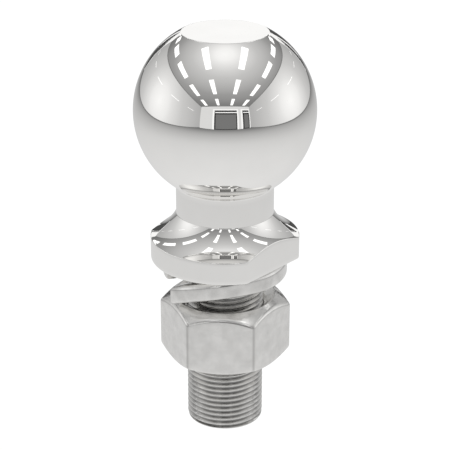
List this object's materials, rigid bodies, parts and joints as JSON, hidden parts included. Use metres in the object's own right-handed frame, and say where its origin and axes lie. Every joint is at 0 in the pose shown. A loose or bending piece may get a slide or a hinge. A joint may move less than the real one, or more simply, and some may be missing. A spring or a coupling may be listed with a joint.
{
  "type": "trailer hitch ball",
  "caption": "Chrome hitch ball on a flanged, threaded stud, with a split lock washer and a hex nut that screws down the shank.",
  "frame": {"origin": "centre of the flange's seating face, on the axis of the shank", "axes": "+Z along the shank axis from the thread towards the ball; +X and +Y are square to it, and the first wrench flat faces 40.5 degrees from +X towards -Y"},
  "size_m": [0.0588, 0.0588, 0.1352],
  "materials": {
    "chrome_plate": "polished chrome plate on forged steel, satin on the thread",
    "zinc_washer": "dull bright zinc plate on spring steel",
    "zinc_nut": "dull bright zinc plate on forged steel"
  },
  "bodies": {
    "ball_stud": {"ball_stud": "chrome_plate"},
    "lock_washer": {"lock_washer": "zinc_washer"},
    "hex_nut": {"hex_nut": "zinc_nut"}
  },
  "joints": [
    {"name": "washer_drop", "type": "slide", "parent": "ball_stud", "child": "lock_washer", "axis": [0, 0, -1], "range_m": [0, 0.0455]},
    {"name": "nut_turn", "type": "hinge", "parent": "lock_washer", "child": "hex_nut", "pos_m": [0, 0, -0.0245], "axis": [0, 0, -1], "range_deg": [0, 9000]}
  ],
  "couplings": [
    {"joint": "washer_drop", "follows": "nut_turn", "m_per_rad": 0.00028871}
  ]
}
